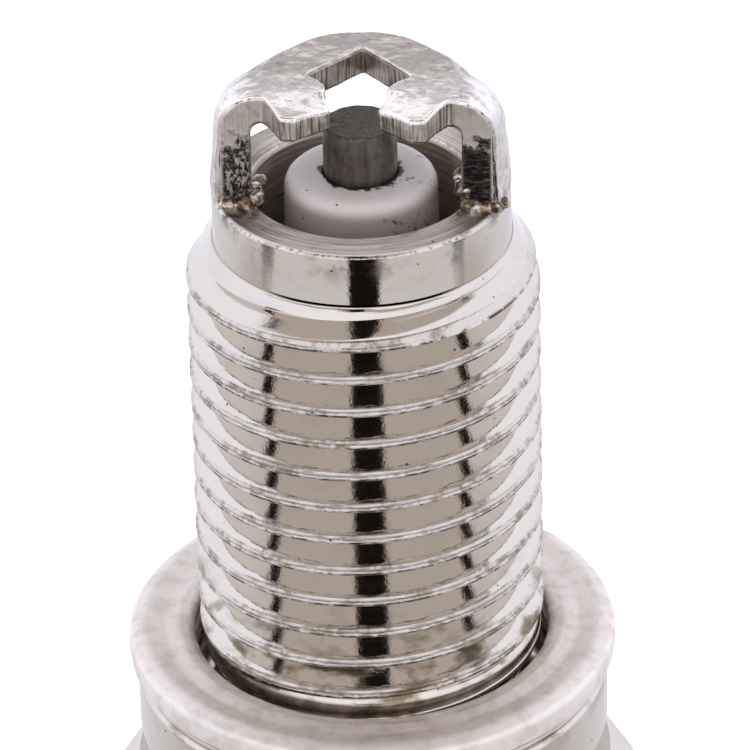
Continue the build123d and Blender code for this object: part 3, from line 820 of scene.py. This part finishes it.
def build_hexagon():
    """Spanner hexagon: flats with the corners turned off by a cone at each end."""
    half_flats = HEX_FLATS / 2
    corner_r = half_flats / cos(pi / 6) - 0.12
    end_r = 8.3
    cone_slope = 1.7
    fine = [0.05 * step for step in range(19)]
    heights = [HEX_TOP - step for step in fine] + [HEX_BOTTOM + step for step in reversed(fine)]
    rings = [(HEX_CORE_R, HEX_TOP)] + [(corner_r, z) for z in heights] + [(HEX_CORE_R, HEX_BOTTOM)]

    def cut_back(angle, r, z):
        """From the ring's radius to the flat or the cone, where they are nearer the axis."""
        flat = half_flats / cos(angle % (pi / 3) - pi / 6)
        cone = end_r + min(HEX_TOP - z, z - HEX_BOTTOM) * cone_slope
        return min(flat, cone, r) - r, 0

    hexagon = lathe("shell_hexagon", rings, 360, wobble=cut_back, crease_angle=14)
    dress(hexagon, "nickel_plate", replaced=("metal_shell",))


# --- gasket ---
def build_gasket():
    """Folded washer: rolled outer edge lapped over the top, shallow channel, rolled inner rim."""
    inner = GASKET_HOLE_R
    top = GASKET_TOP
    low = GASKET_LOW
    middle = (top + low) / 2
    profile = rounded([
        (GASKET_R, middle, 0),
        (GASKET_R - 0.02, top - 0.24, 0.3),
        (GASKET_R - 0.55, top, 0.6),
        (GASKET_R - 1.25, top - 0.14, 0.6),
        (inner + 0.55, top - 0.05, 0.5),
        (inner, top - 0.16, 0.25),
        (inner, top - 0.6, 0.15),
        (inner + 0.5, middle + 0.1, 0.2),
        (inner + 0.5, middle - 0.1, 0.2),
        (inner, low + 0.5, 0.15),
        (inner, low + 0.03, 0.2),
        (GASKET_R - 0.35, low, 0.5),
        (GASKET_R - 0.09, low + 0.46, 0.1),
        (GASKET_R - 0.13, low + 0.50, 0.02),
        (GASKET_R - 0.03, low + 0.54, 0.06),
    ])

    def dented(angle, r, z):
        spot = Vector((cos(angle) * 2.2, sin(angle) * 2.2, r))
        return 0.02 * noise.noise(spot), 0.02 * noise.noise(spot * 1.7)

    gasket = lathe("folded_gasket", profile, 320, closed=True, wobble=dented)
    dress(gasket, "gasket_steel", body="gasket", replaced=("sealing_gasket",))


# --- ground electrode ---
def remeshed(mesh, cell, rounds):
    """A copy of a mesh in millimetres, rebuilt from even cells, with its edges rounded off."""
    scratch = placed("scratch", mesh)
    modifier = scratch.modifiers.new("cells", "REMESH")
    modifier.mode = "VOXEL"
    modifier.voxel_size = cell
    soften = scratch.modifiers.new("soften", "SMOOTH")
    soften.factor = 0.5
    soften.iterations = rounds
    evaluated = scratch.evaluated_get(bpy.context.evaluated_depsgraph_get())
    fresh = bpy.data.meshes.new_from_object(evaluated)
    bpy.data.objects.remove(scratch)
    return fresh


def places_and_normals(mesh):
    """Every vertex of a mesh as (x, y, z, normal), read before anything moves."""
    return [(*vertex.co, vertex.normal.copy()) for vertex in mesh.vertices]


def skin_depth(radius, z):
    """Depth below the strap's outer skin, in millimetres, from its dome section."""
    out = max(0, radius - (BRIDGE_R - KNUCKLE_R))
    up = max(0, z - (BRIDGE_TOP - KNUCKLE_R))
    return KNUCKLE_R - hypot(out, up)


def build_bridge():
    """The strap: the CAD solid rebuilt finely, with rolled edges and a pressed, uneven shape."""
    coarse = frame["nodes"]["ground_electrode"].data.copy()
    for vertex in coarse.vertices:
        vertex.co /= MM
    mesh = remeshed(coarse, cell=0.04, rounds=16)
    mesh.name = "bridge_strap"
    sheared = []
    shaped = []
    for x, y, z, normal in places_and_normals(mesh):
        along = x * cos(BRIDGE_TURN) + y * sin(BRIDGE_TURN)
        back = y * cos(BRIDGE_TURN) - x * sin(BRIDGE_TURN)
        radius = hypot(x, y)
        depth = skin_depth(radius, z)
        sheared.append(smooth_step(depth, 0.08, 0.17) * smooth_step(BRIDGE_THICK - depth, 0.03, 0.10))
        # the knuckle is rounder towards the back, where the press drew the metal down
        above_foot = smooth_step(z, REACH + 0.9, REACH + 2.8)
        drawn = 0.38 * max(0, radius - 3.2) * smooth_step(back, -1.4, 0.9) * above_foot
        # the prongs are pressed thinner from above towards their tips
        upper = smooth_step(BRIDGE_THICK - depth, 0.0, BRIDGE_THICK)
        prong = smooth_step(-back, 0.9, 2.7) * smooth_step(-abs(along), -3.0, -2.2)
        tip = smooth_step(-back, 0.9, 1.9) * smooth_step(-abs(along), -1.7, -0.8)
        front_top = upper * (0.17 * prong + 0.20 * tip)
        # the metal spreads sideways there, so the prongs bulge into the diamond's lower sides
        spread = smooth_step(-abs(back + 0.55), -0.80, -0.10) * smooth_step(-abs(along), -2.5, -1.5)
        spread *= 0.27 * smooth_step(z, BRIDGE_TOP - 1.5, BRIDGE_TOP - 1.1)
        spot = Vector((x, y, z))
        swell = 0.045 * noise.noise(spot * 0.8) + 0.014 * noise.noise(spot * 2.6)
        spot += normal * swell - Vector((copysign(spread, along), 0, drawn + front_top))
        shaped += [spot.x * MM, spot.y * MM, max(spot.z, REACH - 0.02) * MM]
    mesh.vertices.foreach_set("co", shaped)
    mesh.attributes.new("sheared", "FLOAT", "POINT").data.foreach_set("value", sheared)
    mesh.shade_smooth()
    dress(placed("bridge_strap", mesh), "nickel_alloy", replaced=("ground_electrode",))


def weld_bead(name, lumps, seed):
    """Metal squeezed out of a weld: lumps, as (x, y, rise, size), run together into one skin."""
    choose = random.Random(seed)
    joined = bmesh.new()
    for x, y, rise, size in lumps:
        lump = bmesh.ops.create_icosphere(joined, subdivisions=3, radius=1)
        stretch = [size * choose.uniform(0.8, 1.25) for _ in range(3)]
        for vertex in lump["verts"]:
            swell = 1 + 0.25 * noise.noise(vertex.co * 1.2 + Vector((x * 9, y * 9, seed)))
            place = Vector(s * swell * v for s, v in zip(stretch, vertex.co))
            vertex.co = place + Vector((x, y, REACH + rise))
    mesh = bpy.data.meshes.new(name)
    joined.to_mesh(mesh)
    joined.free()
    mesh = remeshed(mesh, cell=0.025, rounds=18)
    mesh.name = name
    shaped = []
    for x, y, z, normal in places_and_normals(mesh):
        spot = Vector((x, y, z))
        spot += normal * 0.02 * noise.noise(spot * 5)
        shaped += [spot.x * MM, spot.y * MM, spot.z * MM]
    mesh.vertices.foreach_set("co", shaped)
    mesh.shade_smooth()
    dress(placed(name, mesh), "weld_metal")


def build_welds():
    """Flash squeezed out round the two feet, and a fleck of spatter on the end face."""
    weld_bead("weld_flash_left", [
        (-3.52, -1.15, 0.14, 0.38),
        (-3.44, -0.82, 0.52, 0.30),
        (-3.48, -0.40, 0.18, 0.34),
        (-3.86, -1.44, 0.05, 0.32),
        (-4.25, -1.48, 0.00, 0.27),
        (-4.62, -1.34, -0.04, 0.20),
    ], seed=3)
    weld_bead("weld_flash_right", [
        (3.46, -1.55, 0.45, 0.34),
        (3.38, -1.22, 0.78, 0.27),
        (3.42, -0.85, 0.30, 0.34),
        (3.66, -1.95, 0.10, 0.34),
        (4.08, -2.15, 0.02, 0.31),
        (4.50, -2.00, 0.00, 0.26),
        (4.80, -1.62, -0.04, 0.20),
    ], seed=5)
    weld_bead("weld_spatter", [(3.22, -2.42, 0.01, 0.09)], seed=21)


# --- insulator and centre electrode ---
def insulator_profile():
    """Nose, stem and shoulder, then the ribbed barrel outside the shell, and the bore."""
    corners = [
        (ELECTRODE_BORE_R, NOSE_TIP, 0),
        (NOSE_R, NOSE_TIP, 0.85),
        (NOSE_R + 0.02, NOSE_TIP - 2.5, 1.0),
        (STEM_R, 8.5, 0.5),
        (STEM_R, 6.36, 0.1),
        (CONE_R, 5.76, 0.1),
        (CONE_R, -2.9, 0.2),
        (SHOULDER_R, -3.9, 0.2),
        (SHOULDER_R, -8.2, 0.3),
        (BARREL_R, -8.9, 0.2),
        (BARREL_R, RIB_FIRST_Z + 1.35, 0.4),
    ]
    for groove in range(RIB_COUNT + 1):
        middle = RIB_FIRST_Z - groove * RIB_PITCH
        corners.append((BARREL_R - RIB_DEPTH, middle + 0.55, 0.7))
        corners.append((BARREL_R - RIB_DEPTH, middle - 0.55, 0.7))
        corners.append((BARREL_R, middle - 1.3, 0.3))
        if groove < RIB_COUNT:
            corners.append((BARREL_R, middle - RIB_PITCH + 1.3, 0.3))
    corners += [
        (BARREL_R, RIB_FIRST_Z - RIB_PITCH * RIB_COUNT - 2.0, 0.6),
        (4.1, INSULATOR_END + 0.3, 0.5),
        (3.5, INSULATOR_END, 0.2),
        (STUD_BORE_R, INSULATOR_END, 0),
        (STUD_BORE_R, 2.6, 0),
        (ELECTRODE_BORE_R, 3.0, 0),
        (ELECTRODE_BORE_R, NOSE_TIP - 0.02, 0),
    ]
    return rounded(corners)


def build_insulator():
    piece = lathe("insulator_body", insulator_profile(), 256, closed=True)
    dress(piece, "alumina", replaced=("insulator",))


def build_center_electrode():
    """Rod with a worn tip; its head, its stub and the bore for the copper core are hidden."""
    profile = rounded([
        (0, ELECTRODE_TIP, 0),
        (ELECTRODE_R - 0.04, ELECTRODE_TIP, 0.10),
        (ELECTRODE_R, ELECTRODE_TIP - 0.7, 0.3),
        (ELECTRODE_R + 0.02, 2.95, 0),
        (ELECTRODE_HEAD_R, 2.55, 0.05),
        (ELECTRODE_HEAD_R, 1.6, 0.05),
        (ELECTRODE_STUB_R, 1.6, 0),
        (ELECTRODE_STUB_R, 0.6, 0),
        (COPPER_R, 0.6, 0),
        (COPPER_R, REACH - 1.35, 0.3),
        (0, REACH - 0.6, 0),
    ])

    def worn(angle, r, z):
        spot = Vector((cos(angle) * 1.6, sin(angle) * 1.6, z))
        return 0.025 * noise.noise(spot * 1.3), 0.03 * noise.noise(spot * 2.1 + Vector((r, 0, 0)))

    piece = lathe("center_electrode_rod", profile, 160, wobble=worn)
    dress(piece, "electrode_alloy", replaced=("center_electrode",))


# --- terminal ---
def build_stud():
    """Stud with its M4 thread and flange; the keyed end sits in the glass."""
    flange_low = NUT_TOP + 0.05
    profile = rounded([
        (0, -13.0, 0),
        (STUD_KEY_R, -13.0, 0.1),
        (STUD_KEY_R, -19.0, 0),
        (STUD_SHANK_R, -19.2, 0),
        (STUD_SHANK_R, INSULATOR_END, 0),
        (STUD_FLANGE_R, INSULATOR_END, 0.12),
        (STUD_FLANGE_R, flange_low, 0.12),
        (STUD_ROOT_R - 0.1, flange_low, 0),
        (STUD_ROOT_R - 0.1, STUD_END, 0.15),
        (0, STUD_END, 0),
    ])
    stud = lathe("stud_body", profile, 128)

    def limits(z):
        """Both ends of the thread taper at 45 degrees, from under the turned body."""
        run_in = STUD_ROOT_R - 0.12 + max(0, z - STUD_END)
        run_out = STUD_ROOT_R - 0.12 + max(0, flange_low - 0.25 - z)
        return 0, min(run_in, run_out, STUD_THREAD_R)

    turns = round((flange_low - STUD_END) / STUD_PITCH) + 2
    ridge = thread_profile(STUD_PITCH, STUD_ROOT_R, STUD_THREAD_R, half_crest=0.06, lip=0.012)
    thread = helical_thread("stud_thread", ridge, STUD_PITCH, STUD_END - STUD_PITCH, turns, limits,
                            columns=144)
    dress(stud, "stud_steel", replaced=("terminal_stud",))
    dress(thread, "stud_steel", replaced=("terminal_stud",))


def build_nut():
    """Removable terminal nut: base ring, waist for the cap's clip, round barrel."""
    profile = rounded([
        (NUT_BORE_R + 0.15, NUT_TOP, 0),
        (NUT_BASE_R, NUT_TOP, 0.2),
        (NUT_BASE_R, NUT_WAIST_TOP, 0.3),
        (NUT_WAIST_R, NUT_WAIST_TOP, 0.12),
        (NUT_WAIST_R, NUT_WAIST_LOW, 0.15),
        (NUT_BARREL_R, NUT_WAIST_LOW - 0.1, 0.12),
        (NUT_BARREL_R, NUT_END + 0.6, 0.25),
        (2.6, NUT_END, 0.2),
        (NUT_BORE_R + 0.15, NUT_END, 0.05),
        (NUT_BORE_R, NUT_END + 0.15, 0.05),
        (NUT_BORE_R, NUT_TOP - 0.15, 0.05),
    ])
    nut = lathe("terminal_nut_turned", profile, 160, closed=True)
    dress(nut, "stud_steel", body="nut", replaced=("terminal_nut",))


def paint_inner_nodes():
    """The sealed pieces keep their CAD shape and take the material of their slot."""
    slots = {entry["node"]: entry["material_slot"] for entry in RECORD["subparts"]}
    for node in ("copper_core", "lower_glass_seal", "resistor", "upper_glass_seal",
                 "seat_packing_ring", "lower_wire_ring", "talc_filling", "upper_wire_ring"):
        piece = frame["nodes"][node]
        for slot in piece.material_slots:
            slot.material = LOOKS[slots[node]]


# --- studio ---
def build_floor():
    """Plain pale floor. It takes shadows but keeps out of the metal's reflections."""
    look = Look("floor_paper", Roughness=0.9)
    look.shader.inputs["Base Color"].default_value = (0.93, 0.91, 0.84, 1)
    look.shader.inputs["Emission Color"].default_value = (1, 1, 1, 1)
    look.shader.inputs["Emission Strength"].default_value = 0.55
    fibre = look.noise(look.place, 0.05, detail=3)
    look.finish(normal=look.bump(fibre, 0.2))
    half = 3.0
    corners = [(-half, -half), (half, -half), (half, half), (-half, half)]
    mesh = bpy.data.meshes.new("floor")
    mesh.from_pydata([(x, y, FLOOR_Z) for x, y in corners], [], [(0, 1, 2, 3)])
    floor = placed("floor", mesh)
    floor.data.materials.append(look.material)
    floor.visible_glossy = False
    floor.visible_diffuse = False


def build_studio_light():
    """A room of pale cards and light boxes, coloured by direction; the camera itself sees white.

    Dark gaps stand between the cards: a seam at the left and the right, and a gap in front.
    """
    world = bpy.data.worlds.new("studio")
    world.use_nodes = True
    bpy.context.scene.world = world
    room = Nodes(world.node_tree)
    room.tree.nodes.clear()
    x, y, z = room.parts(room.node("ShaderNodeTexCoord").outputs["Generated"])
    side = room.size(x)
    dark_seam = (0.012, 0.009, 0.008)
    dark_gap = (0.010, 0.007, 0.006)

    # low part of the room: white card in front, brighter light boxes at the sides and behind
    edge = room.plus(room.times(side, 0.4225), room.times(y, 0.781))
    edge = room.plus(edge, room.times(z, 0.4627))
    card = room.blend(room.ramp(z, -0.40, 0.25), (0.77, 0.765, 0.81), (1.15, 1.17, 1.27))
    table = room.blend(room.ramp(edge, 0.10, 0.55), (0.60, 0.57, 0.58), (0.80, 0.81, 0.90))
    boxes = room.blend(room.ramp(edge, 0.10, 0.42), (0.96, 1.00, 1.16), (1.06, 1.10, 1.27))
    boxes = room.blend(room.ramp(z, -0.50, -0.36), table, boxes)
    wall = room.blend(room.ramp(z, 0.48, 0.72), (0.54, 0.53, 0.58), (1.05, 1.08, 1.18))
    wall = room.blend(room.ramp(side, 0.22, 0.50), wall, (1.10, 1.13, 1.30))
    boxes = room.blend(room.ramp(z, 0.12, 0.34), boxes, wall)
    low = room.blend(room.ramp(edge, -0.01, 0.01), card, boxes)
    seam = room.times(room.near(edge, 0.052, 0.080),
                      room.times(room.ramp(z, -0.52, -0.38, 0.12, 1), room.ramp(z, 0.0, 0.15, 1, 0)))
    low = room.blend(seam, low, dark_seam)
    gap = room.times(room.ramp(room.plus(side, room.times(y, 0.203)), -0.012, 0.008, 1, 0),
                     room.ramp(z, 0.0, 0.10, 1, 0))
    low = room.blend(gap, low, dark_gap)

    # overhead: a beige half in front, a paler half behind, the same dark gap and seam
    lean = room.minus(room.times(y, 0.961), room.times(z, 0.263))
    behind = room.blend(room.ramp(lean, 0.05, 0.35), (0.70, 0.66, 0.69), (1.20, 1.22, 1.30))
    high = room.blend(room.ramp(lean, -0.01, 0.01), (0.55, 0.50, 0.47), behind)
    high = room.blend(room.near(lean, 0.022, 0.036), high, dark_seam)
    # the flanks lean with the helix, so the gap stands a little to the left overhead
    high = room.blend(room.near(room.plus(x, 0.054), 0.078, 0.092), high, dark_gap)

    lit = room.blend(room.ramp(z, 0.78, 0.86), low, high)
    seen = room.blend(room.node("ShaderNodeLightPath").outputs["Is Camera Ray"], lit, (1.0, 1.0, 1.0))
    background = room.node("ShaderNodeBackground")
    room.plug(seen, background.inputs["Color"])
    room.plug(background.outputs[0], room.node("ShaderNodeOutputWorld").inputs[0])


def build_camera():
    """Long lens about 31 degrees above the horizon, on the open side of the bridge."""
    focal_length = 333.7968
    distance = 237.3
    elevation = radians(31.24)
    aim_z = REACH - 7.63
    yaw = radians(-0.076)
    roll = radians(-1.44)
    back = Vector((0, -cos(elevation), sin(elevation)))
    spot = Vector((0, 0, aim_z)) + back * distance
    right = Vector((1, 0, 0))
    up = Vector((0, sin(elevation), cos(elevation)))
    turned_back = back * cos(yaw) + right * sin(yaw)
    turned_right = right * cos(yaw) - back * sin(yaw)
    side = turned_right * cos(roll) + up * sin(roll)
    above = up * cos(roll) - turned_right * sin(roll)
    data = bpy.data.cameras.new("camera")
    data.sensor_width = 36
    data.lens = focal_length
    data.clip_start = 0.01
    data.clip_end = 20
    camera = placed("camera", data)
    stand = Matrix((side, above, turned_back)).transposed().to_4x4()
    stand.translation = spot * MM
    camera.matrix_world = stand
    bpy.context.scene.camera = camera


build_camera()
build_studio_light()
build_floor()
build_shell()
build_hexagon()
build_gasket()
build_bridge()
build_welds()
build_insulator()
build_center_electrode()
build_stud()
build_nut()
paint_inner_nodes()

bpy.context.scene.view_settings.view_transform = "Standard"
